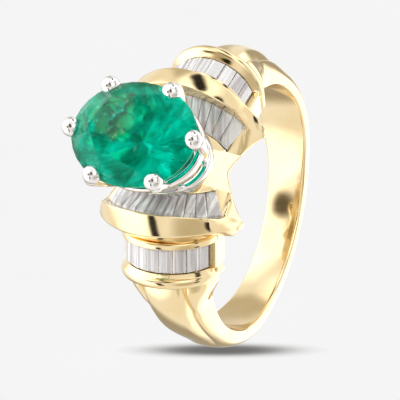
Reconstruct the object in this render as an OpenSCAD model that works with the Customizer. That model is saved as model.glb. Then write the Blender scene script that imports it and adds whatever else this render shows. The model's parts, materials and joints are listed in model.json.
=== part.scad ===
// Cocktail ring: a gold band with a claw-set oval stone between two arched crescents.
// Millimetres. The origin is the middle of the finger hole. +Z is up through the oval stone,
// Y is the finger axis, and the two shoulders are on -X (left) and +X (right).

/* [Finger hole] */
// Diameter of the finger hole
finger_d = 17; // [15:0.1:20]

/* [Band] */
// Width of the band at the back
back_w = 2.7; // [2:0.1:4]
// Thickness of the band at the back
back_t = 1.6; // [1.1:0.1:2.2]
// Height of the domed shoulder above the finger hole, where it meets the rim bar
shoulder_t = 3.3; // [2.6:0.1:3.8]
// Thickness of the seat across the top
seat_t = 1.2; // [1:0.1:1.5]
// Width of the seat across the top, at the finger hole
seat_w = 5.9; // [5.4:0.1:6.4]

/* [Shoulder settings] */
// Angle of each shoulder setting from the top of the ring
shoulder_angle = 33.5; // [32.5:0.5:35]
// Radius of the dome that the shoulder stones lie on
dome_r = 3.0; // [2.8:0.05:3.1]
// Number of stones on each shoulder
shoulder_stones = 9; // [7:1:11]
// Length of a shoulder stone
shoulder_stone_l = 1.85; // [1.5:0.05:2]

/* [Crescents] */
// Distance between the two tips of a crescent
crescent_span = 10.4; // [9.6:0.1:11]
// Height of the crescent tips above the middle of the finger hole
crescent_tip_z = 9.2; // [9.1:0.1:9.8]
// Rise of the top face from its tips to its crown
crescent_rise = 4.6; // [4:0.1:5.2]
// Width of the top face at the crown
crescent_top_w = 1.35; // [1.1:0.05:1.5]
// Number of stones in each fan
fan_stones = 13; // [9:1:15]

/* [Oval stone] */
// Length of the oval stone, along the finger axis
stone_l = 9.0; // [7:0.1:10]
// Width of the oval stone
stone_w = 7.2; // [6:0.1:8]
// Height of the stone's girdle above the middle of the finger hole
girdle_z = 18.1; // [17.5:0.1:19.5]
// Height of the stone's crown above the girdle
crown_h = 1.5; // [1.2:0.1:2]
// Depth of the stone's pavilion below the girdle
pavilion_h = 3.1; // [2.5:0.1:3.4]

/* [Basket head] */
// Diameter of a claw's shaft
claw_d = 0.95; // [0.8:0.05:1.2]
// Diameter of a claw's ball end
claw_ball_d = 1.35; // [1.1:0.05:1.6]
// Diameter of the peg under the basket
peg_d = 1.8; // [1.4:0.1:2]
// Turn of the head about its peg, in degrees
head_turn = 2.8; // [0:0.2:4]
// Offset of the head towards the left shoulder
head_offset = 0.15; // [0:0.05:0.3]

/* [Hidden] */
$fn = 64;

gold = [0.89, 0.73, 0.42];
white_metal = [0.86, 0.86, 0.87];
emerald_green = [0.02, 0.62, 0.44];
diamond_white = [0.93, 0.93, 0.96];

bore_r = finger_d / 2;
seat_r = bore_r + seat_t;
fan_names = [for (side = ["left", "right"]) for (i = [1:fan_stones]) stone_name("fan", side, i)];
shoulder_names = [for (side = ["left", "right"]) for (i = [1:shoulder_stones])
    stone_name("shoulder", side, i)];

function stone_name(row, side, i) = str(row, "_baguette_", side, i < 10 ? "_0" : "_", i);
function side_sign(side) = side == "left" ? -1 : 1;
function blend(a, b, t) = a + (b - a) * min(1, max(0, t));
function smooth(t) = let (u = min(1, max(0, t))) u * u * (3 - 2 * u);
function centroid(p) = [for (k = [0:2]) (p[0][k] + p[1][k] + p[2][k] + p[3][k]) / 4];
function unit(v) = v / norm(v);

// ---- Generic builders -------------------------------------------------------------------

// A closed solid through a list of rings, each with the same number of points.
module loft(rings) {
    n = len(rings[0]);
    last = len(rings) - 1;
    sides = [for (i = [0:last - 1]) for (j = [0:n - 1])
        [i * n + j, i * n + (j + 1) % n, (i + 1) * n + (j + 1) % n, (i + 1) * n + j]];
    caps = [[for (j = [n - 1:-1:0]) j], [for (j = [0:n - 1]) last * n + j]];
    polyhedron([for (r = rings) for (p = r) p], concat(sides, caps), convexity = 8);
}

// A closed loop of rings, such as an oval rail.
module loop_loft(rings) {
    n = len(rings[0]);
    m = len(rings);
    sides = [for (i = [0:m - 1]) for (j = [0:n - 1])
        [i * n + j, i * n + (j + 1) % n, ((i + 1) % m) * n + (j + 1) % n, ((i + 1) % m) * n + j]];
    polyhedron([for (r = rings) for (p = r) p], sides, convexity = 8);
}

// A step-cut stone on the quad [inner a, inner b, outer b, outer a], whose plane is the girdle.
module step_cut_stone(quad, crown, pavilion) {
    c = centroid(quad);
    up = unit(cross(quad[1] - quad[3], quad[2] - quad[0]));
    flat = [for (p = quad) p - up * ((p - c) * up)];
    inset = [for (p = flat) c + (p - c) * 0.66];
    keel = [for (p = flat) c + (p - c) * 0.16];
    gap = [for (p = flat) c + (p - c) * 0.96];
    loft([[for (p = inset) p + up * crown], [for (p = gap) p + up * 0.05], [for (p = gap) p - up * 0.05],
          [for (p = keel) p - up * pavilion]]);
}

// ---- Shank --------------------------------------------------------------------------------

// q is the angle from the top of the ring, and fold(q) the same angle from 0 to 180 either way.
rim_q = 46;
function fold(q) = abs(q) > 180 ? 360 - abs(q) : abs(q);
function band_half_w(q) = back_w / 2 + 0.52 * (1 + cos(q))
    + 0.73 * smooth((60 - fold(q)) / (60 - rim_q));
function band_height(q) = blend(back_t, shoulder_t, smooth((90 - fold(q)) / (90 - rim_q)));

// One ring of the band at angle q: a flat inside, upright edges and a domed outside.
dome_steps = 5;
edge_t = 0.45;
function band_ring(q) = let (w = band_half_w(q), h = band_height(q))
    concat(
        [[(bore_r - 0.6) * sin(q), w, (bore_r - 0.6) * cos(q)]],
        [for (i = [0:dome_steps]) let (a = 180 * i / dome_steps,
            r = bore_r + edge_t + (h - edge_t) * pow(sin(a), 0.8))
            [r * sin(q), w * cos(a), r * cos(q)]],
        [[(bore_r - 0.6) * sin(q), -w, (bore_r - 0.6) * cos(q)]]);

band_steps = 36;
crescent_pin_angle = 15;
seat_pin_d = 0.8;
seat_pin_l = 0.7;
seat_pin_gap = 0.05;

// One ring of the seat, which carries the settings. Its sides flare outwards from the finger hole.
seat_end_q = rim_q - 0.5;
side_flare = 0.4;
function seat_ring(q) = let (flare = side_flare * smooth((seat_end_q - abs(q)) / 6),
    inner = seat_w / 2 - 0.6 * flare, outer = seat_w / 2 + seat_t * flare)
    concat(
        [[(bore_r - 0.6) * sin(q), inner, (bore_r - 0.6) * cos(q)]],
        [for (i = [0:dome_steps]) [seat_r * sin(q), outer * (1 - 2 * i / dome_steps), seat_r * cos(q)]],
        [[(bore_r - 0.6) * sin(q), -inner, (bore_r - 0.6) * cos(q)]]);

seat_steps = 20;
module shank() {
    color(gold)
    difference() {
        loop_loft(concat(
            [for (i = [0:seat_steps]) seat_ring(seat_end_q - 2 * seat_end_q * i / seat_steps)],
            [for (i = [0:band_steps]) band_ring(-rim_q - (360 - 2 * rim_q) * i / band_steps)]));
        rotate([90, 0, 0]) cylinder(r = bore_r, h = 20, center = true, $fn = 128);
        for (s = [-1, 1]) seat_pin_hole(s, shoulder_angle);
        for (s = [-1, 1]) seat_pin_hole(s, crescent_pin_angle);
    }
}

module seat_pin_hole(s, angle) {
    rotate([0, s * angle, 0])
        translate([0, 0, seat_r - seat_pin_l])
            cylinder(d = seat_pin_d + seat_pin_gap, h = seat_pin_l + 1);
}

module seat_pin(s, angle) {
    rotate([0, s * angle, 0])
        translate([0, 0, seat_r - seat_pin_l + 0.05])
            cylinder(d = seat_pin_d, h = seat_pin_l + 0.4);
}

// ---- Shoulder settings ----------------------------------------------------------------------

// Each setting is a half drum about an axis that lies along the band. x runs down the band.
drum_z = 9.6;
neck_w = 0.42;
neck_r = dome_r + 0.4;
row_x0 = -1.1;
row_x1 = row_x0 + shoulder_stone_l;
bar_x = 1.35;
bar_r = 0.5;

module place_shoulder(s) {
    rotate([0, s * shoulder_angle, 0])
        mirror([s < 0 ? 1 : 0, 0, 0])
            children();
}

// The outline of the drum, as [along the band, from the drum's axis].
drum_outline = concat(
    [[row_x0 - neck_w, 0], [row_x0 - neck_w, neck_r - 0.15], [row_x0 - neck_w + 0.12, neck_r],
     [row_x0, neck_r], [row_x0, dome_r - 0.62], [row_x1, dome_r - 0.62], [row_x1, dome_r + 0.06]],
    [for (a = [150:-20:-30]) [bar_x + bar_r * cos(a), dome_r - 0.02 + bar_r * sin(a)]],
    [[bar_x + bar_r * cos(30), 0]]);

module shoulder_setting(s) {
    color(gold)
    union() {
        difference() {
            place_shoulder(s)
                translate([0, 0, drum_z])
                    rotate([0, 90, 0]) rotate_extrude($fn = 96)
                        polygon([for (p = drum_outline) [p[1], p[0]]]);
            rotate([90, 0, 0]) cylinder(r = seat_r, h = 30, center = true);
        }
        seat_pin(s, shoulder_angle);
    }
}

// A stone of the shoulder row: a rectangle on the dome, square to its radius.
row_half_angle = 80;
function dome_point(x, a) = [x, dome_r * sin(a), drum_z + dome_r * cos(a)];
module shoulder_baguette(s, i) {
    step = 2 * row_half_angle / shoulder_stones;
    a0 = -row_half_angle + step * (i - 1);
    a1 = a0 + step;
    color(diamond_white)
        place_shoulder(s)
            step_cut_stone([dome_point(row_x0 + 0.04, a0), dome_point(row_x0 + 0.04, a1),
                            dome_point(row_x1 - 0.04, a1), dome_point(row_x1 - 0.04, a0)], 0.14, 0.42);
}

// ---- Crescents -----------------------------------------------------------------------------

// t is the place along a crescent, from -1 at one tip to 1 at the other. The top face slopes outwards.
function arch_x(t) = pow(max(0, 1 - t * t), 0.75);
function arch_z(t) = pow(max(0, 1 - t * t), 0.6);
function top_x(t) = 3.23 + 1.94 * arch_x(t);
function top_z(t) = crescent_tip_z + crescent_rise * arch_z(t);
tip_half_w = 0.3;
function top_half_w(t) = tip_half_w + (crescent_top_w / 2 - tip_half_w) * arch_x(t);
function top_tilt(t) = 0.45 * arch_x(t);

// The fan: u runs from -1 to 1 over the row of stones, between an inner and an outer curve.
function fan_g(u) = pow(max(0, 1 - u * u * 0.98), 0.75);
function fan_outer(u) = [3.2 + 1.05 * fan_g(u), 4.25 * u, 10.4 + 2.6 * fan_g(u)];
function fan_inner(u) = [1.35 + 1.05 * fan_g(u), 3.25 * u, 10.35 + 1.45 * fan_g(u)];

bridge_half_w = 1.1;
waist_half_l = 3.7;
inner_face_x = bridge_half_w + 0.02;

// The body of a crescent, as cross sections along the finger axis.
function leaf_inner_x(y) = y < waist_half_l ? inner_face_x
    : blend(inner_face_x, top_x(1) - top_half_w(1) - 0.15,
            pow((y - waist_half_l) / (crescent_span / 2 - waist_half_l), 0.8));
function leaf_bottom_z(y) = blend(7.6, crescent_tip_z - 0.6, smooth((y - seat_w / 2 - 0.3) / 1.2));
function leaf_inner_z(y) = blend(fan_inner(0)[2], crescent_tip_z, pow(min(1, 2 * y / crescent_span), 1.6));

// The outer wall stands on the back of the shoulder setting, whose outline is a circle.
function drum_back(y) = let (h = drum_z + sqrt(max(0, pow(neck_r - 0.1, 2) - y * y)),
    x = row_x0 - neck_w + 0.02)
    [x * cos(shoulder_angle) + h * sin(shoulder_angle), h * cos(shoulder_angle) - x * sin(shoulder_angle)];

function leaf_ring(t, s) = let (y = abs(t) * crescent_span / 2, xi = leaf_inner_x(y), zb = leaf_bottom_z(y),
    xt = top_x(t), zt = top_z(t), w = top_half_w(t), d = top_tilt(t), zi = leaf_inner_z(y),
    foot = drum_back(y), xo = min(xt + w - 0.1, foot[0]), zo = max(zb + 0.4, foot[1]))
    [[s * xi, t * crescent_span / 2, zb], [s * (xo - 0.35), t * crescent_span / 2, zb],
     [s * xo, t * crescent_span / 2, min(zo, zt - d - 0.3)],
     [s * (xt + w), t * crescent_span / 2, zt - d - 0.2],
     [s * (xt + w - 0.12), t * crescent_span / 2, zt - d],
     [s * xt, t * crescent_span / 2, zt + 0.08], [s * (xt - w), t * crescent_span / 2, zt + d],
     [s * xi, t * crescent_span / 2, min(zi, zt - 0.12)]];

leaf_steps = 32;
module crescent(s) {
    color(gold)
    union() {
        difference() {
            loft([for (i = [0:leaf_steps]) let (t = sin(89.5 * (2 * i / leaf_steps - 1)))
                s > 0 ? leaf_ring(t, s) : leaf_ring(-t, s)]);
            fan_pocket(s);
            rotate([90, 0, 0]) cylinder(r = seat_r, h = 30, center = true);
            place_shoulder(s)
                translate([row_x0 - neck_w, -6, seat_r - 3]) cube([8, 12, 6.5]);
        }
        seat_pin(s, crescent_pin_angle);
    }
}

// The room that the fan's stones stand in: a curved slot through the row, open at the top.
function fan_frame_up(u) = unit(cross([0, 1, 0], fan_inner(u) - fan_outer(u)));
module fan_pocket(s) {
    rings = [for (i = [0:2 * fan_stones]) let (u = -1.01 + 2.02 * i / (2 * fan_stones),
        v = max(-1, min(1, u)), up = fan_frame_up(v), o = fan_outer(v), n = fan_inner(v),
        e = (o - n) * 0.015)
        [n - e - up * 0.62, o + e - up * 0.62, o + e + up * 0.16, o + e * 2 + up * 3, n - e + up * 3]];
    loft([for (i = [0:2 * fan_stones]) let (k = s > 0 ? i : 2 * fan_stones - i)
        [for (p = rings[k]) [s * p[0], p[1], p[2]]]]);
}

module fan_baguette(s, i) {
    u0 = -1 + 2 * (i - 1) / fan_stones;
    u1 = u0 + 2 / fan_stones;
    quad = [fan_inner(u0), fan_inner(u1), fan_outer(u1), fan_outer(u0)];
    color(diamond_white)
        mirror([s < 0 ? 1 : 0, 0, 0])
            step_cut_stone(quad, 0.14, 0.42);
}

// ---- Head bridge, basket head and oval stone --------------------------------------------------

bridge_top_z = 11.2;
bridge_side = [for (i = [-8:8]) let (y = waist_half_l * i / 8) [y, bridge_top_z - 7 + sqrt(49 - y * y)]];
module head_bridge() {
    color(gold)
    difference() {
        rotate([90, 0, 90])
            linear_extrude(height = 2 * bridge_half_w, center = true)
                polygon(concat([[-seat_w / 2, 8.5]], bridge_side, [[seat_w / 2, 8.5]]));
        rotate([90, 0, 0]) cylinder(r = seat_r, h = 30, center = true);
        translate([-head_offset, 0, 0]) cylinder(d = peg_d + 0.05, h = 30);
    }
}

// The basket and its stone are turned a little about their peg.
module place_head() {
    translate([-head_offset, 0, 0]) rotate([0, 0, head_turn]) children();
}

// Half lengths of the basket's ovals: y is along the finger axis.
upper_rail_z = girdle_z - 2.3;
lower_rail_z = 12.6;
claw_count = 6;
function oval(a, half_l, half_w) = [half_w * sin(a), half_l * cos(a)];

// A round tube through the points of a path, with a radius at each point.
function tube_ring(p, dir, r) = let (side = unit(cross(dir, [0.3, 0.2, 1])), up = cross(dir, side))
    [for (a = [0:36:324]) p + r * (cos(a) * side - sin(a) * up)];
module tube(points, radii) {
    last = len(points) - 1;
    loft([for (i = [0:last]) let (d = unit(points[min(last, i + 1)] - points[max(0, i - 1)]))
        tube_ring(points[i], d, radii[i])]);
}

module oval_rail(z, half_l, half_w, r) {
    loop_loft([for (a = [350:-10:0]) let (p = oval(a, half_l, half_w), n = unit([p[0], p[1], 0]))
        [for (b = [0:45:315]) [p[0], p[1], z] + r * (cos(b) * n + sin(b) * [0, 0, 1])]]);
}

// A claw leans out from the base, passes both rails and ends in a ball folded over the girdle.
module claw(a) {
    base = oval(a, 2.0, 1.5);
    high = oval(a, stone_l / 2 + 0.2, stone_w / 2 + 0.2);
    tip = oval(a, stone_l / 2 - 0.12, stone_w / 2 - 0.12);
    tube([[base[0], base[1], 11.5], [high[0], high[1], girdle_z + 0.2]], [claw_d / 2, claw_d / 2]);
    translate([tip[0], tip[1], girdle_z + 0.42]) sphere(d = claw_ball_d, $fn = 24);
}

module basket_head() {
    color(white_metal)
    place_head()
    difference() {
        union() {
            oval_rail(upper_rail_z, 3.9, 3.05, 0.33);
            oval_rail(lower_rail_z, 3.15, 2.45, 0.36);
            for (i = [0:claw_count - 1]) claw(i * 360 / claw_count);
            translate([0, 0, bridge_top_z]) cylinder(r = 1.9, h = 0.7);
            translate([0, 0, seat_r + 0.05]) cylinder(d = peg_d, h = 1.8);
        }
        stone_room();
    }
}

// The oval stone's rings, from the culet up to the table.
stone_sides = 24;
function stone_ring(z, f) = [for (i = [0:stone_sides - 1]) let (a = 360 * i / stone_sides)
    [f * stone_w / 2 * cos(a), f * stone_l / 2 * sin(a), z]];
module stone_room() {
    grow = 0.01;
    loft([stone_ring(girdle_z + crown_h + grow, 0.56), stone_ring(girdle_z + 0.9 + grow, 0.8),
          stone_ring(girdle_z + 0.1, 1 + grow), stone_ring(girdle_z - 0.1, 1 + grow),
          stone_ring(girdle_z - 1.7, 0.66), stone_ring(girdle_z - pavilion_h - grow, 0.06)]);
}
module emerald() {
    color(emerald_green)
    place_head()
    loft([stone_ring(girdle_z + crown_h, 0.55), stone_ring(girdle_z + 0.9, 0.79),
          stone_ring(girdle_z + 0.1, 1), stone_ring(girdle_z - 0.1, 1),
          stone_ring(girdle_z - 1.7, 0.65), stone_ring(girdle_z - pavilion_h, 0.05)]);
}

// ---- The nodes --------------------------------------------------------------------------------

shank();
shoulder_setting(-1);  // shoulder_setting_left
shoulder_setting(1);  // shoulder_setting_right
crescent(-1);  // crescent_left
crescent(1);  // crescent_right
head_bridge();
basket_head();
emerald();
for (side = ["left", "right"]) {
    for (i = [1:fan_stones])
        fan_baguette(side_sign(side), i);
    for (i = [1:shoulder_stones])
        shoulder_baguette(side_sign(side), i);
}
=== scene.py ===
import json
import math

import bpy
from mathutils import Matrix, Vector


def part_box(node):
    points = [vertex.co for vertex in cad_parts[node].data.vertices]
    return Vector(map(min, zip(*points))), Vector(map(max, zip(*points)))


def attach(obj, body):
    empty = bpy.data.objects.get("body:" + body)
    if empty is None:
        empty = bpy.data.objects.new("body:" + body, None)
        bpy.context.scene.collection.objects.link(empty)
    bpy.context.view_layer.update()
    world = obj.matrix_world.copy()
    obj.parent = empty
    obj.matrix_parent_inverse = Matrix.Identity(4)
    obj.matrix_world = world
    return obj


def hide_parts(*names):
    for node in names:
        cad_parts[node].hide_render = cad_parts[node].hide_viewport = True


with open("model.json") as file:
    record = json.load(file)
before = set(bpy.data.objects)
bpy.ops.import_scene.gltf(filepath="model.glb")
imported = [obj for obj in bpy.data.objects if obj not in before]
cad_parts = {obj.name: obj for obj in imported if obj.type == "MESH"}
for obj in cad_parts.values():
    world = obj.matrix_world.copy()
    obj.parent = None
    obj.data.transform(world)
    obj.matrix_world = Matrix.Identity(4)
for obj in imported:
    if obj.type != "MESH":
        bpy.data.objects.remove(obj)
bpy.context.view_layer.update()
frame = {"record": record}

# Lengths below are in millimetres in the row frame: X across the shoulders, Y the finger axis and
# Z up through the oval stone.
MM = 0.001


def box_mm(node):
    low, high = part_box(node)
    return low / MM, high / MM


# ---- Sizes ------------------------------------------------------------

# Repeated from part.scad, which this script can't read
CROWN_H = 1.5
HEAD_TURN = math.radians(2.8)
SEAT_T, SHOULDER_T = 1.2, 3.3
BACK_HALF_W = 1.35
RIM_Q = 46.0
SHOULDER_ANGLE = math.radians(33.5)
DOME_R, DRUM_Z, NECK_W = 3.0, 9.6, 0.42
ROW_X0, ROW_X1, ROW_HALF = -1.1, 0.75, 80.0
FAN_STONES, ROW_STONES = 13, 9
FAN_IN_X, FAN_IN_Y, FAN_IN_Z = 1.35, 3.25, 10.35
FAN_OUT_X, FAN_OUT_Y, FAN_OUT_Z = 3.2, 4.25, 10.4
FAN_REACH, FAN_IN_RISE, FAN_OUT_RISE = 1.05, 1.45, 2.6

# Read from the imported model
BORE_R = frame["record"]["mounts"][0]["dims"]["r_mm"]
SEAT_W = frame["record"]["mounts"][0]["dims"]["length_mm"] / 2
shank_low, shank_high = box_mm("shank")
BACK_R = -shank_low.z
SEAT_TOP_W = shank_high.y
stone_low, stone_high = box_mm("emerald")
HEAD_X = (stone_high.x + stone_low.x) / 2
STONE_L, STONE_W = stone_high.y, (stone_high.x - stone_low.x) / 2
TABLE_Z, CULET_Z = stone_high.z, stone_low.z
GIRDLE_Z = TABLE_Z - CROWN_H
TIP_Y = box_mm("crescent_right")[1].y
bridge_high = box_mm("head_bridge")[1]
BRIDGE_W, WAIST_Y = bridge_high.x, bridge_high.y


# ---- Small tools ------------------------------------------------------------

def smooth(t):
    t = min(1.0, max(0.0, t))
    return t * t * (3 - 2 * t)


def rise(value, start, end):
    """0 up to start and 1 from end on, with a smooth change between them. start may be above end."""
    return smooth((value - start) / (end - start))


def mix(a, b, t):
    return a + (b - a) * t


def circle(steps):
    """The angles of a full turn in equal steps."""
    return [2 * math.pi * k / steps for k in range(steps)]


def rounded(corners, radii, steps=4):
    """The closed outline with each corner cut back by its radius and turned in a smooth curve."""
    out = []
    n = len(corners)
    for i, p in enumerate(corners):
        p = Vector(p)
        a, b = Vector(corners[i - 1]) - p, Vector(corners[(i + 1) % n]) - p
        r = min(radii[i], 0.45 * a.length, 0.45 * b.length)
        p0 = p + a.normalized() * r if a.length > 1e-6 else p
        p1 = p + b.normalized() * r if b.length > 1e-6 else p
        for k in range(steps + 1):
            t = k / steps
            out.append(p0 * (1 - t) ** 2 + p * 2 * t * (1 - t) + p1 * t * t)
    return out


def make(name, points, faces, material, flat=False, crease=40):
    mesh = bpy.data.meshes.new(name)
    mesh.from_pydata([Vector(p) * MM for p in points], [], faces)
    mesh.validate()
    for poly in mesh.polygons:
        poly.use_smooth = not flat
    if not flat:
        mesh.set_sharp_from_angle(angle=math.radians(crease))
    mesh.materials.append(material)
    obj = bpy.data.objects.new(name, mesh)
    bpy.context.collection.objects.link(obj)
    return obj


def skin(rings, loop=False):
    """Points and faces of a surface through closed rings with equal counts."""
    n, m = len(rings[0]), len(rings)
    faces = []
    for i in range(m if loop else m - 1):
        for j in range(n):
            a, b = i * n + j, i * n + (j + 1) % n
            c, d = ((i + 1) % m) * n + (j + 1) % n, ((i + 1) % m) * n + j
            faces.append((a, b, c, d))
    if not loop:
        faces.append(tuple(range(n - 1, -1, -1)))
        faces.append(tuple((m - 1) * n + j for j in range(n)))
    return [p for ring in rings for p in ring], faces


def outward(points, faces):
    """Turns the faces round if the solid is inside out."""
    volume = 0.0
    for f in faces:
        a = Vector(points[f[0]])
        for j in range(1, len(f) - 1):
            volume += a.dot(Vector(points[f[j]]).cross(Vector(points[f[j + 1]])))
    return faces if volume > 0 else [tuple(reversed(f)) for f in faces]


def join(name, parts, material, flat=False, crease=40):
    points, faces = [], []
    for part_points, part_faces in parts:
        base = len(points)
        points += list(part_points)
        faces += [tuple(base + k for k in f) for f in outward(part_points, part_faces)]
    return make(name, points, faces, material, flat, crease)


def shown(obj, node):
    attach(obj, "root")
    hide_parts(node)


# ---- Materials ------------------------------------------------------------

# Inside the materials lengths are in metres, as the object's own coordinates are.


def node_tree(name):
    material = bpy.data.materials.new(name)
    material.use_nodes = True
    nodes = material.node_tree.nodes
    return material, nodes, material.node_tree.links, nodes["Principled BSDF"]


def add_noise(nodes, links, scale, detail=4.0, stretch=None):
    coord = nodes.new("ShaderNodeTexCoord")
    noise = nodes.new("ShaderNodeTexNoise")
    noise.inputs["Scale"].default_value = scale
    noise.inputs["Detail"].default_value = detail
    if stretch:
        mapping = nodes.new("ShaderNodeMapping")
        mapping.inputs["Scale"].default_value = stretch
        links.new(coord.outputs["Object"], mapping.inputs["Vector"])
        links.new(mapping.outputs["Vector"], noise.inputs["Vector"])
    else:
        links.new(coord.outputs["Object"], noise.inputs["Vector"])
    return noise


def ramp(nodes, links, value, stops):
    node = nodes.new("ShaderNodeValToRGB")
    elements = node.color_ramp.elements
    while len(elements) < len(stops):
        elements.new(0.5)
    for element, (place, colour) in zip(elements, stops):
        element.position = place
        element.color = (*colour, 1.0)
    links.new(value, node.inputs["Fac"])
    return node


def polished_metal(name, low, high, rough_low, rough_high):
    """Cast and polished metal: cloudy tone, fine polishing marks and a slightly uneven surface."""
    material, nodes, links, bsdf = node_tree(name)
    bsdf.inputs["Metallic"].default_value = 1.0
    tone_noise = add_noise(nodes, links, 420.0, 3.0)
    tone = ramp(nodes, links, tone_noise.outputs["Fac"], [(0.3, low), (0.7, high)])
    links.new(tone.outputs["Color"], bsdf.inputs["Base Color"])
    marks = add_noise(nodes, links, 2600.0, 6.0, (1.0, 0.25, 1.0))
    rough = nodes.new("ShaderNodeMapRange")
    rough.inputs["To Min"].default_value = rough_low
    rough.inputs["To Max"].default_value = rough_high
    links.new(marks.outputs["Fac"], rough.inputs["Value"])
    links.new(rough.outputs["Result"], bsdf.inputs["Roughness"])
    wave = add_noise(nodes, links, 380.0, 2.0)
    bump = nodes.new("ShaderNodeBump")
    bump.inputs["Strength"].default_value = 0.12
    bump.inputs["Distance"].default_value = 0.0002
    links.new(wave.outputs["Fac"], bump.inputs["Height"])
    fine = nodes.new("ShaderNodeBump")
    fine.inputs["Strength"].default_value = 0.05
    fine.inputs["Distance"].default_value = 0.00002
    links.new(marks.outputs["Fac"], fine.inputs["Height"])
    links.new(bump.outputs["Normal"], fine.inputs["Normal"])
    links.new(fine.outputs["Normal"], bsdf.inputs["Normal"])
    return material


def gem(name, low, high, ior, transmission, rough, noise_scale, stretch=None):
    """Cut stone: darker and lighter clouds in its colour, drawn out into streaks if stretched, and a slightly
    uneven polish. On the diamonds these streaks are painted reflections of the facets."""
    material, nodes, links, bsdf = node_tree(name)
    bsdf.inputs["IOR"].default_value = ior
    bsdf.inputs["Transmission Weight"].default_value = transmission
    tone_noise = add_noise(nodes, links, noise_scale, 5.0, stretch)
    tone = ramp(nodes, links, tone_noise.outputs["Fac"], [(0.42, low), (0.58, high)])
    links.new(tone.outputs["Color"], bsdf.inputs["Base Color"])
    fine = add_noise(nodes, links, noise_scale * 9, 4.0)
    spread = nodes.new("ShaderNodeMapRange")
    spread.inputs["To Min"].default_value = rough
    spread.inputs["To Max"].default_value = rough + 0.03
    links.new(fine.outputs["Fac"], spread.inputs["Value"])
    links.new(spread.outputs["Result"], bsdf.inputs["Roughness"])
    return material


GOLD = polished_metal("yellow_gold", (0.86, 0.67, 0.375), (0.92, 0.755, 0.475), 0.06, 0.13)
WHITE_GOLD = polished_metal("white_gold", (0.80, 0.78, 0.78), (0.88, 0.86, 0.86), 0.06, 0.14)
# The diamonds' grey-pink and white streaks are painted reflections of their facets, not colour in the stones.
DIAMOND = gem("diamond", (0.52, 0.48, 0.49), (0.98, 0.98, 1.0), ior=1.9, transmission=0.25, rough=0.0,
              noise_scale=3000.0, stretch=(0.03, 1.0, 0.03))
# A faint white glow on the cut stones: painted light that brightens them, though they are no lamp.
diamond_shader = DIAMOND.node_tree.nodes["Principled BSDF"]
diamond_shader.inputs["Emission Color"].default_value = (0.96, 0.97, 1.0, 1.0)
diamond_shader.inputs["Emission Strength"].default_value = 0.05
# The facets under a baguette's girdle: a bright metal finish stands in for the light that a real cut returns.
DIAMOND_BACK = polished_metal("diamond_pavilion", (0.84, 0.82, 0.84), (0.98, 0.99, 1.0), 0.02, 0.06)
EMERALD = gem("emerald", (0.0, 0.26, 0.14), (0.0, 0.70, 0.48), ior=1.42, transmission=0.78, rough=0.11,
              noise_scale=520.0)


def inclusions(material, place, radius):
    """The growth inside the green stone: pale specks all through it and one grey-brown veil at a place."""
    nodes, links = material.node_tree.nodes, material.node_tree.links
    bsdf = nodes["Principled BSDF"]
    bsdf.inputs["Specular Tint"].default_value = (0.0, 0.7, 0.5, 1.0)
    bsdf.inputs["Specular IOR Level"].default_value = 0.15
    base = bsdf.inputs["Base Color"].links[0].from_socket
    coord = nodes.new("ShaderNodeTexCoord")
    away = nodes.new("ShaderNodeVectorMath")
    away.operation = "DISTANCE"
    away.inputs[1].default_value = place
    links.new(coord.outputs["Object"], away.inputs[0])
    ragged = add_noise(nodes, links, 900.0, 4.0)
    wander = nodes.new("ShaderNodeMath")
    wander.operation = "MULTIPLY_ADD"
    wander.inputs[1].default_value = 0.0022
    links.new(ragged.outputs["Fac"], wander.inputs[0])
    links.new(away.outputs["Value"], wander.inputs[2])
    veil = nodes.new("ShaderNodeMapRange")
    veil.inputs["From Min"].default_value = radius + 0.0014
    veil.inputs["From Max"].default_value = radius + 0.0008
    veil.inputs["To Max"].default_value = 0.9
    links.new(wander.outputs["Value"], veil.inputs["Value"])
    stained = nodes.new("ShaderNodeMixRGB")
    stained.inputs["Color2"].default_value = (0.20, 0.20, 0.13, 1.0)
    links.new(veil.outputs["Result"], stained.inputs["Fac"])
    links.new(base, stained.inputs["Color1"])
    grain = add_noise(nodes, links, 2600.0, 5.0)
    speck = ramp(nodes, links, grain.outputs["Fac"], [(0.62, (0.0, 0.0, 0.0)), (0.74, (0.7, 0.7, 0.7))])
    dusted = nodes.new("ShaderNodeMixRGB")
    dusted.inputs["Color2"].default_value = (0.30, 0.85, 0.66, 1.0)
    links.new(speck.outputs["Color"], dusted.inputs["Fac"])
    links.new(stained.outputs["Color"], dusted.inputs["Color1"])
    links.new(dusted.outputs["Color"], bsdf.inputs["Base Color"])


inclusions(EMERALD, place=(0.0007, 0.0011, TABLE_Z * MM), radius=0.0015)


# ---- Band ------------------------------------------------------------

def folded(q):
    q = abs(q)
    return 360 - q if q > 180 else q


def placed_round(q, outline):
    """Points (height over the finger hole, y) in the row frame, at q degrees from the top."""
    a = math.radians(q)
    return [((BORE_R + h) * math.sin(a), y, (BORE_R + h) * math.cos(a)) for h, y in outline]


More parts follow.
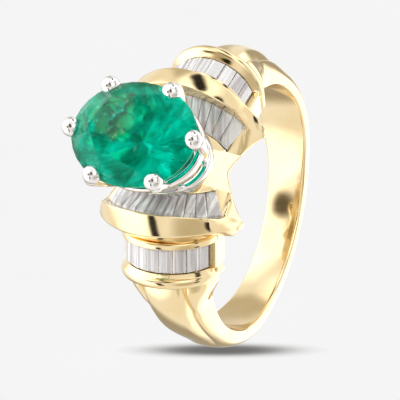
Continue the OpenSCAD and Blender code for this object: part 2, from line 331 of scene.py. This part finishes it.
def band_ring(q):
    """One section of the band at q degrees from the top: slightly crowned inside, with rounded edges.
    Outside it has a raised middle panel, with a crease on each side that fades towards the back."""
    f = folded(q)
    taper = 0.52 * (1 + math.cos(math.radians(q)))
    flare = 0.73 * rise(f, 60, RIM_Q)
    belly = 0.14 * rise(f, 85, 110) * rise(f, 150, 125)
    half_w = min(BACK_HALF_W + taper + flare, SEAT_W) + belly
    height = mix(BACK_R - BORE_R, SHOULDER_T, rise(f, 90, RIM_Q))
    crease_y = mix(0.9, 1.57, rise(f, 104, RIM_Q))
    crease_half_w = 0.42
    crease_depth = 0.42 * rise(f, 112, 56)
    crown = 0.07 * rise(f, 50, 80)
    ease = mix(0.2, 0.28, rise(f, 120, 170))
    edge = mix(0.5, 1.15, rise(f, 52, RIM_Q))
    ease_steps, slope_steps, panel_steps, half_inside = 6, 20, 16, 6
    turns = [k * math.pi / (2 * ease_steps) for k in range(ease_steps + 1)]
    pts = [(ease * (1 - math.cos(b)), half_w - ease * (1 - math.sin(b))) for b in turns]
    side = [mix(half_w, crease_y, math.sin(math.pi / 2 * k / slope_steps) ** 2) for k in range(slope_steps)]
    side += [mix(crease_y, 0.0, (k / panel_steps) ** 1.2) for k in range(panel_steps)]
    for y in side + [0.0] + [-y for y in reversed(side)]:
        u = min(1.0, abs(y) / half_w)
        h = edge + (height - edge) * max(0.0, 1 - u * u) ** 0.4
        valley = max(0.0, 1 - abs(abs(y) - crease_y) / crease_half_w) ** 1.7
        pts.append((h - crease_depth * valley, y))
    pts += [(h, -y) for h, y in reversed(pts[:ease_steps + 1])]
    inner = [(crown * ((k - half_inside) / half_inside) ** 2,
              mix(-half_w + ease, half_w - ease, k / (2 * half_inside))) for k in range(1, 2 * half_inside)]
    pts = [(h + crown * max(0.0, 1 - h / 0.3), y) for h, y in pts]
    return placed_round(q, pts + inner)


def seat_ring(q):
    """One section of the seat that carries the settings. It is wider at its top than at the finger hole."""
    top_w = mix(SEAT_W, SEAT_TOP_W, rise(abs(q), 45.5, 39.5))
    top = mix(0.45, SEAT_T, rise(abs(q), RIM_Q, RIM_Q - 2.5))
    outline = [(0, SEAT_W), (top, top_w), (top, -top_w), (0, -SEAT_W)]
    return placed_round(q, rounded(outline, [0.3, 0.05, 0.05, 0.3]))


# The band's ends reach 5 degrees in past the seat's ends, under the rim bars, so that no gap shows there.
BAND_STEPS, SEAT_STEPS = 240, 72
BAND_Q = RIM_Q - 5
BAND = [band_ring(BAND_Q + (360 - 2 * BAND_Q) * i / BAND_STEPS) for i in range(BAND_STEPS + 1)]
SEAT = [seat_ring(-RIM_Q + 2 * RIM_Q * i / SEAT_STEPS) for i in range(SEAT_STEPS + 1)]
shown(join("band", [skin(BAND), skin(SEAT)], GOLD), "shank")


# ---- Shoulder settings ------------------------------------------------------------

def shoulder_place(side, x, y, z):
    """A point of a shoulder setting's own frame, in the row frame: x runs down the band, z out from it."""
    c, s = math.cos(SHOULDER_ANGLE), math.sin(SHOULDER_ANGLE)
    return (side * (x * c + z * s), y, z * c - x * s)


def setting_section(filled):
    """The section across the row: neck strip, channel, inner slope and rolled rim bar. filled, from 0 to 1,
    closes the channel."""
    floor = mix(2.38, 3.42, filled)
    neck = [(ROW_X0 - NECK_W, 1.9), (ROW_X0 - NECK_W, 3.34), (ROW_X0, 3.40)]
    channel = [(ROW_X0 + 0.001, floor), (ROW_X1, floor), (ROW_X1 + 0.001, mix(3.04, 3.34, filled))]
    rim_bar = [(1.0, 3.24), (1.16, 3.42), (1.46, 3.44), (1.74, 3.26), (1.83, 2.96), (1.8, 2.5), (1.76, 1.9)]
    radii = [0.1, 0.12, 0.06] + [0.02, 0.02, 0.05] + [0.15, 0.15, 0.2, 0.2, 0.2, 0.2, 0.1]
    return rounded(neck + channel + rim_bar, radii)


def shoulder_setting(side):
    """The section carried over the dome and straight down at both ends, where the end walls stand."""
    rings = []
    dome_steps = 90
    drops = (1.2, 0.8, 0.4, 0.1)
    stations = [(-90.0, d) for d in drops]
    stations += [(mix(-90, 90, i / dome_steps), 0.0) for i in range(dome_steps + 1)]
    stations += [(90.0, d) for d in reversed(drops)]
    for angle, drop in stations:
        a = math.radians(angle)
        section = setting_section(rise(abs(angle), ROW_HALF, ROW_HALF + 2.5))
        rings.append([shoulder_place(side, p.x, (p.y - 0.1 * drop) * math.sin(a),
                                     DRUM_Z - drop + p.y * math.cos(a)) for p in section])
    return skin(rings)


for side, word in ((-1, "left"), (1, "right")):
    setting = join(f"shoulder_rim_{word}", [shoulder_setting(side)], GOLD)
    shown(setting, f"shoulder_setting_{word}")


# ---- Baguette stones ------------------------------------------------------------

def baguette(quad, crown=0.15, pavilion=0.42):
    """A step-cut stone on four girdle corners: table, crown steps, girdle, pavilion steps and keel."""
    quad = [Vector(p) for p in quad]
    centre = sum(quad, Vector()) / 4
    up = (quad[1] - quad[3]).cross(quad[2] - quad[0]).normalized()
    if up.z < 0:
        up = -up
    flat = [p - up * (p - centre).dot(up) for p in quad]
    # each level: its height over the girdle, and its part of the stone's width and length
    levels = [(crown, 0.56, 0.80), (crown * 0.62, 0.80, 0.90), (0.04, 0.95, 0.97), (-0.04, 0.95, 0.97),
              (-pavilion * 0.55, 0.62, 0.80), (-pavilion, 0.10, 0.55)]
    across = ((flat[0] + flat[3]) / 2 - (flat[1] + flat[2]) / 2).normalized()
    rings = []
    for height, narrow, long in levels:
        ring = []
        for p in flat:
            d = p - centre
            width = across * d.dot(across)
            ring.append(centre + width * narrow + (d - width) * long + up * height)
        rings.append(ring)
    return skin(rings)


def cut_stone(name, quad):
    """A stone on its four girdle corners. The facets under the girdle mirror the light back."""
    stone = join("cut_" + name, [baguette(quad)], DIAMOND, flat=True)
    stone.data.materials.append(DIAMOND_BACK)
    # skin() lists four sides for each of the five steps, then the table, 20, and the keel, 21
    pavilion = set(range(3 * 4, 5 * 4)) | {21}
    for number, poly in enumerate(stone.data.polygons):
        poly.material_index = 1 if number in pavilion else 0
    shown(stone, name)


def row_point(side, x, angle):
    """A point of the shoulder row's girdle, at an angle round the dome."""
    a = math.radians(angle)
    return shoulder_place(side, x, DOME_R * math.sin(a), DRUM_Z + DOME_R * math.cos(a))


def fan_bulge(u):
    """How far the fan's curves stand out at u, from -1 to 1 along the row."""
    return max(0.0, 1 - u * u * 0.98) ** 0.75


def fan_outer(side, u):
    """The outer curve of the fan's girdles, at u along the row."""
    g = fan_bulge(u)
    return (side * (FAN_OUT_X + FAN_REACH * g), FAN_OUT_Y * u, FAN_OUT_Z + FAN_OUT_RISE * g)


def fan_inner(side, u):
    """The inner curve of the fan's girdles, at u along the row."""
    g = fan_bulge(u)
    return (side * (FAN_IN_X + FAN_REACH * g), FAN_IN_Y * u, FAN_IN_Z + FAN_IN_RISE * g)


for side, word in ((-1, "left"), (1, "right")):
    for i in range(1, ROW_STONES + 1):
        a0, a1 = (mix(-ROW_HALF, ROW_HALF, (i + k) / ROW_STONES) for k in (-1, 0))
        x0, x1 = ROW_X0 + 0.04, ROW_X1 - 0.04
        quad = [row_point(side, x, a) for x, a in ((x0, a0), (x0, a1), (x1, a1), (x1, a0))]
        cut_stone(f"shoulder_baguette_{word}_{i:02d}", quad)
    for i in range(1, FAN_STONES + 1):
        u0, u1 = (mix(-1, 1, (i + k) / FAN_STONES) for k in (-1, 0))
        quad = [fan_inner(side, u0), fan_inner(side, u1), fan_outer(side, u1), fan_outer(side, u0)]
        cut_stone(f"fan_baguette_{word}_{i:02d}", quad)


# ---- Crescents ------------------------------------------------------------

# The crescents' tips, the ledge's top at the middle, and the round back of a shoulder setting
TIP_Z, TIP_X = 9.05, 3.04
LEDGE_TOP_Z = 11.8
DRUM_BACK_R = 3.3
# How far the outer and inner edges of a crescent's top face stand out from its tips and over them at the middle
OUT_REACH, OUT_RISE = 2.41, 4.37
IN_REACH, IN_RISE = 1.56, 5.3


def waist_part(y):
    """How far out from the head's middle the ledge's edge stands at y, from 0 at the waist to 1 at the tips."""
    return max(0.0, (y - WAIST_Y) / (TIP_Y - WAIST_Y)) ** 0.77


def waist_edge(x):
    """How far along the finger axis the head's ledge reaches at x: drawn in at the waist, out at the tips."""
    return WAIST_Y + (TIP_Y - WAIST_Y) * (abs(x) / TIP_X) ** 1.3


def ledge_height(y):
    """The top of the ledge between the stones and the head's outline: it falls away towards the tips."""
    return mix(LEDGE_TOP_Z, TIP_Z, min(1.0, abs(y) / TIP_Y) ** 1.6)


def drum_back(y):
    """Where the back of the shoulder setting stands at y, as (x, z) of the row frame."""
    h = DRUM_Z + math.sqrt(max(0.0, DRUM_BACK_R ** 2 - y * y))
    x, _, z = shoulder_place(1, ROW_X0 - 0.4, 0.0, h)
    return x, z


def fan_pocket(y):
    """The fan's room in a crescent at y: down, across under the stones and up, as corners (x, z)."""
    if y < FAN_IN_Y:
        p = Vector(fan_inner(1, y / FAN_IN_Y))
    else:
        p = Vector(fan_inner(1, 1)).lerp(Vector(fan_outer(1, 1)), (y - FAN_IN_Y) / (FAN_OUT_Y - FAN_IN_Y))
    q = Vector(fan_outer(1, y / FAN_OUT_Y))
    room = rise(y, FAN_OUT_Y, FAN_OUT_Y - 0.05)
    return [(p.x, p.z + 0.1), (p.x + 0.02, p.z + 0.1 - 0.5 * room),
            (q.x - 0.02, q.z - 0.42 * room), (q.x, q.z + 0.12)]


def leaf_section(t):
    """The section of a crescent at t, from -1 at one tip to 1 at the other, as corners (x, z) and radii."""
    y = abs(t) * TIP_Y
    bulge = max(0.0, 1 - t * t)
    ax, az = bulge ** 0.70, bulge ** 0.52
    out_x, out_z = TIP_X + 0.4 + OUT_REACH * ax, TIP_Z + OUT_RISE * az
    in_x, in_z = TIP_X - 0.12 + IN_REACH * ax, TIP_Z + IN_RISE * az
    side_x = max(BRIDGE_W - 0.05, min(TIP_X * waist_part(y), in_x - 0.1))
    bottom_z = mix(8.5, TIP_Z - 0.35, rise(y, 3.5, 5.2))
    # towards the tip the top face and the ledge run into one sloping face
    across = ledge_height(y) + (out_z - ledge_height(y)) * (in_x - side_x) / (out_x - side_x)
    in_z = mix(in_z, across, rise(y, 4.1, 4.9))
    ledge_z = min(ledge_height(y), in_z - 0.02)
    # the end walls lean inwards on the way down to the band
    lean_y = y + 0.45 * max(0.0, ledge_z - bottom_z)
    low_x = max(side_x, TIP_X * waist_part(lean_y))
    if y < FAN_OUT_Y:
        pocket = fan_pocket(y)
    else:
        # past the stones the pocket closes into the face between the ledge and the top
        k = (y - FAN_OUT_Y) / (TIP_Y - FAN_OUT_Y)
        side, top = Vector((side_x, ledge_z)), Vector((in_x, in_z))
        low = Vector((min(3.26, in_x - 0.1), 10.66)).lerp((side + top) / 2, smooth(k) ** 0.6)
        pocket = [side.lerp(low, 1 - 0.6 * k), side.lerp(low, 1 - 0.3 * k), low, low.lerp(top, 0.4 * k)]
    foot_x, foot_z = drum_back(y)
    foot_x = min(out_x - 0.1, foot_x)
    foot_z = min(max(bottom_z + 0.4, foot_z), out_z - 0.25)
    low_x = min(low_x, foot_x - 0.45)
    mid_x, mid_z = (in_x + out_x) / 2, (in_z + out_z) / 2 + 0.05
    corners = [(low_x, bottom_z), (side_x, ledge_z)] + pocket + [
        (in_x, in_z), (mid_x, mid_z), (out_x, out_z),
        (mix(out_x, foot_x, 0.12), mix(out_z, foot_z, 0.12)), (foot_x, foot_z), (foot_x - 0.35, bottom_z)]
    soft = rise(y, 3.6, 4.8)
    radii = [0.1, mix(0.1, 0.3, soft), 0.08, 0.02, 0.02, 0.05, mix(0.1, 0.8, soft), 0.5, 0.12, 0.12, 0.3, 0.1]
    return corners, radii


def crescent(side):
    """The arched wall from tip to tip, with a few smaller rings that round each tip off."""
    rings = []
    steps = 150
    cap = ((0.98, 0.03), (0.92, 0.06), (0.81, 0.09), (0.62, 0.12), (0.3, 0.14))
    for i in range(steps + 1):
        t = math.sin(math.radians(80) * (2 * i / steps - 1))
        rings.append([(side * p.x, t * (TIP_Y - 0.12), p.y) for p in rounded(*leaf_section(t))])
    for end, grow in ((0, -1), (-1, 1)):
        ring = rings[end]
        centre = sum((Vector(p) for p in ring), Vector()) / len(ring)
        for size, out in cap:
            inner = [tuple(centre + (Vector(p) - centre) * size + Vector((0, grow * out, 0))) for p in ring]
            rings = [inner] + rings if end == 0 else rings + [inner]
    return skin(rings)


for side, word in ((-1, "left"), (1, "right")):
    leaf = join(f"crescent_wall_{word}", [crescent(side)], GOLD, crease=55)
    shown(leaf, f"crescent_{word}")


# ---- Head bridge ------------------------------------------------------------

def bridge():
    """The saddle between the crescents, drawn in at the waist and thinner near the finger hole."""
    rings = []
    steps, top_steps = 24, 14
    bottom_z, shoulder_z = 8.62, 9.6
    half = BRIDGE_W + 0.2
    for i in range(steps + 1):
        x = mix(-half, half, i / steps)
        end = waist_edge(x)
        shoulder_y = mix(SEAT_W, end, 0.6)
        rim = mix(0.35, 0.1, abs(x) / half)
        top = [end * k / top_steps for k in range(-top_steps, top_steps + 1)]
        outline = [(-SEAT_W, bottom_z), (-shoulder_y, shoulder_z)]
        outline += [(y, ledge_height(y) + 0.02) for y in top]
        outline += [(shoulder_y, shoulder_z), (SEAT_W, bottom_z)]
        radii = [0.1, 0.4, rim] + [0.1] * (2 * top_steps - 1) + [rim, 0.4, 0.1]
        rings.append([(x, p.x, p.y) for p in rounded(outline, radii)])
    return skin(rings)


shown(join("head_saddle", [bridge()], GOLD), "head_bridge")


# ---- Basket ------------------------------------------------------------

def turned(points):
    """The points of the head, turned about its peg and set a little towards the left shoulder."""
    c, s = math.cos(HEAD_TURN), math.sin(HEAD_TURN)
    return [Vector((HEAD_X + p[0] * c - p[1] * s, p[0] * s + p[1] * c, p[2])) for p in points]


def oval(angle, half_l, half_w):
    return Vector((half_w * math.sin(angle), half_l * math.cos(angle), 0))


def sweep(path, radii, sides=16):
    """A round bar through the points of a path, with a domed end at each end."""
    rings = []
    side = None
    n = len(path)
    dome = (1.35, 1.0, 0.6, 0.3)
    for i, p in enumerate(path):
        d = (path[min(n - 1, i + 1)] - path[max(0, i - 1)]).normalized()
        if side is None:
            side = d.orthogonal().normalized()
        side = (side - d * side.dot(d)).normalized()
        up = d.cross(side)
        stops = [(1, 0)]
        if i == 0:
            stops = [(math.cos(a), -math.sin(a)) for a in dome] + stops
        if i == n - 1:
            stops += [(math.cos(a), math.sin(a)) for a in reversed(dome)]
        for size, off in stops:
            rings.append([p + d * (off * radii[i]) + (side * math.cos(a) + up * math.sin(a)) * radii[i] * size
                          for a in circle(sides)])
    return skin(rings)


def rail(z, half_l, half_w, thick, tall, steps=96, sides=20):
    """An oval rail of the basket: a bar whose section is a square with rounded corners."""
    rings = []
    for a in circle(steps):
        p = oval(a, half_l, half_w)
        n = p.normalized()
        ring = []
        for b in circle(sides):
            across, along = (abs(f(b)) ** 0.6 * math.copysign(1, f(b)) for f in (math.cos, math.sin))
            ring.append(p + n * thick * across + Vector((0, 0, z + tall * along)))
        rings.append(ring)
    return skin(rings, loop=True)


def bead(centre, lean, radius, steps=16, sides=24):
    """The ball end of a claw, a little flattened on its outer side."""
    side = lean.orthogonal().normalized()
    up = lean.cross(side)
    rings = []
    for i in range(1, steps):
        b = math.pi * i / steps
        r, h = radius * math.sin(b), -radius * math.cos(b) * (0.94 if b > math.pi / 2 else 1.0)
        rings.append([centre + lean * h + (side * math.cos(a) + up * math.sin(a)) * r for a in circle(sides)])
    return skin(rings)


def claw(angle):
    """A shaft that leans out past both rails and a ball end folded over the girdle."""
    # the oval's half length and half width, the height, and the shaft's radius there
    stops = [(2.0, 1.5, 11.5, 0.42), (3.2, 2.45, 13.8, 0.40), (4.05, 3.2, 16.0, 0.42),
             (STONE_L + 0.2, STONE_W + 0.2, GIRDLE_Z + 0.1, 0.47)]
    path = [oval(angle, l, w) + Vector((0, 0, z)) for l, w, z, r in stops]
    ball = oval(angle, STONE_L - 0.1, STONE_W - 0.1) + Vector((0, 0, GIRDLE_Z + 0.42))
    lean = (Vector((0, 0, 1)) - oval(angle, 1, 1) * 0.35).normalized()
    return [sweep(path, [r for *_, r in stops]), bead(ball, lean, 0.67)]


CLAWS = 6
FOOT = ((0.9, 10.6), (1.7, 11.15), (1.95, 11.35), (1.95, 11.7), (1.8, 11.9), (0.6, 11.95))
basket_parts = [part for k in range(CLAWS) for part in claw(math.radians(360 / CLAWS * k))]
basket_parts += [rail(GIRDLE_Z - 2.3, 3.9, 3.05, 0.24, 0.36), rail(12.6, 3.15, 2.45, 0.28, 0.4)]
foot = [[Vector((r * math.cos(a), r * math.sin(a), z)) for a in circle(48)] for r, z in FOOT]
basket_parts.append(skin(foot))
basket_parts = [(turned(points), faces) for points, faces in basket_parts]
shown(join("basket_claws", basket_parts, WHITE_GOLD, crease=45), "basket_head")


# ---- Oval stone ------------------------------------------------------------

def oval_cut():
    """A mixed oval cut: table, star, kite and girdle facets above, and main and girdle facets below."""
    points, faces = [], []

    def at(angle, size, z):
        a = math.radians(angle)
        points.append((size * STONE_W * math.cos(a), size * STONE_L * math.sin(a), z))
        return len(points) - 1

    half_girdle = 0.07
    table = [at(45 * i, 0.60, TABLE_Z) for i in range(8)]
    star = [at(45 * i + 22.5, 0.80, GIRDLE_Z + 0.66 * (TABLE_Z - GIRDLE_Z)) for i in range(8)]
    upper = [at(11.25 * j, 1.0, GIRDLE_Z + half_girdle) for j in range(32)]
    lower = [at(11.25 * j, 1.0, GIRDLE_Z - half_girdle) for j in range(32)]
    under = [at(45 * i + 22.5, 0.46, mix(GIRDLE_Z, CULET_Z, 0.62)) for i in range(8)]
    culet = at(0, 0.0, CULET_Z)
    faces.append(tuple(table))
    for i in range(8):
        j = (i + 1) % 8
        faces.append((table[i], star[i], table[j]))
        g = [upper[(4 * i + k) % 32] for k in range(5)]
        h = [lower[(4 * i + k) % 32] for k in range(5)]
        faces.append((table[i], star[i - 1], g[0], star[i]))
        for k in range(4):
            faces.append((star[i], g[k], g[k + 1]))
            faces.append((g[k], h[k], h[k + 1], g[k + 1]))
            faces.append((under[i], h[k + 1], h[k]))
        faces.append((culet, under[i], h[0], under[i - 1]))
    return points, faces


points, faces = oval_cut()
shown(make("oval_stone", turned(points), faces, EMERALD, flat=True), "emerald")


# ---- Camera, floor and light ------------------------------------------------------------

camera_data = bpy.data.cameras.new("camera")
camera = bpy.data.objects.new("camera", camera_data)
bpy.context.collection.objects.link(camera)
bpy.context.scene.camera = camera
right = Vector((0.24, -0.899, -0.366)).normalized()
up = Vector((0.955, 0.151, 0.257))
up = (up - right * up.dot(right)).normalized()
back = right.cross(up)
turn = Matrix((right, up, back)).transposed().to_4x4()
CAMERA_AT = Vector((-54.35, -124.21, 275.85))
camera.matrix_world = Matrix.Translation(CAMERA_AT * MM) @ turn
camera_data.sensor_width = 36.0
camera_data.lens = 399.6
camera_data.clip_start, camera_data.clip_end = 0.01, 5.0

# The ring lies over on its lower shoulder with the finger axis level, so the floor's normal leans to +X.
floor_up = Vector((0.836, 0.0, 0.549)).normalized()
foot_point = min((Vector(p) for ring in BAND for p in ring), key=lambda p: p.dot(floor_up))
floor_mesh = bpy.data.meshes.new("floor")
level = Vector((0, 1, 0))
across = floor_up.cross(level)
SPOKES, HOOPS = 64, (20.0, 60.0, 120.0, 220.0)
floor_points = [Vector((foot_point.x, 0, foot_point.z))]
for r in HOOPS:
    floor_points += [floor_points[0] + (level * math.cos(a) + across * math.sin(a)) * r for a in circle(SPOKES)]
floor_faces = [(0, 1 + k, 1 + (k + 1) % SPOKES) for k in range(SPOKES)]
for hoop in range(len(HOOPS) - 1):
    base = 1 + hoop * SPOKES
    for k in range(SPOKES):
        after = (k + 1) % SPOKES
        floor_faces.append((base + k, base + SPOKES + k, base + SPOKES + after, base + after))
floor_mesh.from_pydata([p * MM for p in floor_points], [], floor_faces)
floor = bpy.data.objects.new("floor", floor_mesh)
bpy.context.collection.objects.link(floor)
if floor_mesh.polygons[0].normal.dot(floor_up) < 0:
    floor_mesh.flip_normals()

# The shadow under the ring is painted on the floor: a soft ellipse, long across the photograph's view.
along = (right - floor_up * right.dot(floor_up)).normalized()
near = floor_up.cross(along)
if near.dot(back) < 0:
    near = -near
floor_material = bpy.data.materials.new("pale_floor")
floor_material.use_nodes = True
nodes, links = floor_material.node_tree.nodes, floor_material.node_tree.links
nodes.remove(nodes["Principled BSDF"])
speck = add_noise(nodes, links, 60.0, 2.0)
tone = ramp(nodes, links, speck.outputs["Fac"],
            [(0.3, (0.908, 0.908, 0.908)), (0.7, (0.918, 0.918, 0.918))])
SHADOW_HALF_L, SHADOW_HALF_W = 7.6, 1.7
centre = floor_points[0] + near * 2.21 - along * 0.82
spot = nodes.new("ShaderNodeMapping")
spot.vector_type = "TEXTURE"
spot.inputs["Location"].default_value = centre * MM
spot.inputs["Rotation"].default_value = Matrix((-along, near, floor_up)).transposed().to_euler()
spot.inputs["Scale"].default_value = (SHADOW_HALF_L * MM, SHADOW_HALF_W * MM, 1.0)
place = nodes.new("ShaderNodeTexCoord")
links.new(place.outputs["Object"], spot.inputs["Vector"])
reach = nodes.new("ShaderNodeVectorMath")
reach.operation = "LENGTH"
links.new(spot.outputs["Vector"], reach.inputs[0])
fade = ((0.0, 0.175), (0.27, 0.20), (0.38, 0.27), (0.49, 0.40), (0.60, 0.60), (0.71, 0.77), (0.82, 0.90),
        (1.0, 1.0))
dark = ramp(nodes, links, reach.outputs["Value"],
            [(at, (v, 0.98 * v + 0.02 * v * v, 0.95 * v + 0.05 * v * v)) for at, v in fade])
product = nodes.new("ShaderNodeMix")
product.data_type, product.blend_type = "RGBA", "MULTIPLY"
product.inputs["Factor"].default_value = 1.0
links.new(tone.outputs["Color"], product.inputs["A"])
links.new(dark.outputs["Color"], product.inputs["B"])
glow = nodes.new("ShaderNodeEmission")
links.new(product.outputs["Result"], glow.inputs["Color"])
# From below the floor is clear, so that it doesn't hide the ring.
geometry = nodes.new("ShaderNodeNewGeometry")
clear = nodes.new("ShaderNodeBsdfTransparent")
one_side = nodes.new("ShaderNodeMixShader")
links.new(geometry.outputs["Backfacing"], one_side.inputs["Fac"])
links.new(glow.outputs["Emission"], one_side.inputs[1])
links.new(clear.outputs["BSDF"], one_side.inputs[2])
links.new(one_side.outputs["Shader"], nodes["Material Output"].inputs["Surface"])
floor_mesh.materials.append(floor_material)
# The ring doesn't mirror the floor, and the floor throws no light or shadow on it.
floor.visible_glossy = floor.visible_diffuse = floor.visible_transmission = floor.visible_shadow = False

# The studio: a pale light tent with large bright cards, some dim ones, and small dark cards and strips.
TENT = (1.0, 0.985, 0.95)
world = bpy.data.worlds.new("studio")
bpy.context.scene.world = world
world.use_nodes = True
nodes, links = world.node_tree.nodes, world.node_tree.links
nodes.remove(nodes["Background"])
heading = nodes.new("ShaderNodeTexCoord")


def heading_along(direction):
    """The part of a ray's heading that lies along a direction."""
    dot = nodes.new("ShaderNodeVectorMath")
    dot.operation = "DOT_PRODUCT"
    dot.inputs[1].default_value = direction
    links.new(heading.outputs["Generated"], dot.inputs[0])
    return dot


def card(before, place, inner, outer, tone, squash=None):
    """Lays a round card over the tent, with its place in right, up and back parts, its core and its soft edge
    in degrees, and its tone. squash makes it a strip: the direction in which it is narrow, and its half
    width there in degrees."""
    centre = (right * place[0] + up * place[1] + back * place[2]).normalized()
    dot = heading_along(centre)
    mask = nodes.new("ShaderNodeMapRange")
    mask.interpolation_type = "SMOOTHSTEP"
    mask.inputs["From Min"].default_value = math.cos(math.radians(outer))
    mask.inputs["From Max"].default_value = math.cos(math.radians(inner))
    links.new(dot.outputs["Value"], mask.inputs["Value"])
    factor = mask.outputs["Result"]
    if squash is not None:
        narrow, half = squash
        across = right * narrow[0] + up * narrow[1] + back * narrow[2]
        across = (across - centre * across.dot(centre)).normalized()
        line = heading_along(across)
        size = nodes.new("ShaderNodeMath")
        size.operation = "ABSOLUTE"
        links.new(line.outputs["Value"], size.inputs[0])
        strip = nodes.new("ShaderNodeMapRange")
        strip.interpolation_type = "SMOOTHSTEP"
        strip.inputs["From Min"].default_value = math.sin(math.radians(half * 1.7))
        strip.inputs["From Max"].default_value = math.sin(math.radians(half * 0.6))
        links.new(size.outputs["Value"], strip.inputs["Value"])
        both = nodes.new("ShaderNodeMath")
        both.operation = "MULTIPLY"
        links.new(factor, both.inputs[0])
        links.new(strip.outputs["Result"], both.inputs[1])
        factor = both.outputs["Value"]
    blend = nodes.new("ShaderNodeMix")
    blend.data_type = "RGBA"
    links.new(factor, blend.inputs["Factor"])
    if before is None:
        blend.inputs["A"].default_value = (*TENT, 1.0)
    else:
        links.new(before, blend.inputs["A"])
    blend.inputs["B"].default_value = (*tone, 1.0)
    return blend.outputs["Result"]


# Each card's place, core, soft edge and tone, and a strip's narrow direction and half width
CARDS = [
    ((-0.90, 0.35, 0.10), 24, 52, (2.3, 2.3, 2.3)),
    ((-0.85, -0.45, 0.20), 15, 38, (2.0, 2.0, 2.0)),
    ((0.2, 0.9, 0.2), 10, 34, (1.7, 1.7, 1.68)),
    ((-0.65, 0.46, 0.60), 12, 26, (1.8, 1.8, 1.76)),
    ((0.74, -0.12, -0.66), 20, 40, (1.9, 1.9, 1.86)),
    ((0.78, 0.42, -0.45), 14, 32, (1.8, 1.8, 1.76)),
    ((0.46, -0.62, 0.63), 8, 34, (0.62, 0.57, 0.47)),
    ((-0.34, 0.12, 0.93), 8, 28, (0.55, 0.48, 0.38)),
    ((0.40, 0.27, 0.88), 9, 20, (1.9, 1.9, 1.86)),
    ((-0.20, 0.26, 0.945), 14, 22, (0.012, 0.012, 0.012), ((1, 0.5, 0), 6.5)),
    ((-0.75, 0.02, 0.66), 4, 16, (0.14, 0.12, 0.08)),
    ((-0.15, -0.45, -0.88), 10, 34, (0.42, 0.38, 0.31)),
    ((0.80, -0.44, 0.38), 5, 9, (0.02, 0.02, 0.02)),
    ((-0.44, -0.65, 0.62), 13, 20, (0.02, 0.02, 0.02), ((1, 0.5, 0), 5.5)),
    ((0.22, 0.96, 0.10), 13, 20, (0.02, 0.02, 0.02), ((1, 0, -0.5), 6.0)),
    ((0.80, 0.21, 0.56), 14, 26, (0.05, 0.05, 0.045), ((1, 0, -1), 3.5)),
    ((0.66, 0.66, 0.35), 4, 8, (0.04, 0.04, 0.04)),
    ((-0.1, 0.65, -0.6), 26, 40, (0.62, 0.58, 0.50), ((1, 0, 0), 8.0)),
    ((0.45, 0.3, -0.8), 8, 20, (0.45, 0.42, 0.34)),
]
sky = None
for settings in CARDS:
    sky = card(sky, *settings)

tent = nodes.new("ShaderNodeBackground")
links.new(sky, tent.inputs["Color"])
plain = nodes.new("ShaderNodeBackground")
plain.inputs["Color"].default_value = (0.913, 0.913, 0.913, 1.0)
path = nodes.new("ShaderNodeLightPath")
choose = nodes.new("ShaderNodeMixShader")
links.new(path.outputs["Is Camera Ray"], choose.inputs["Fac"])
links.new(tent.outputs["Background"], choose.inputs[1])
links.new(plain.outputs["Background"], choose.inputs[2])
links.new(choose.outputs["Shader"], nodes["World Output"].inputs["Surface"])

bpy.context.scene.view_settings.view_transform = "Standard"
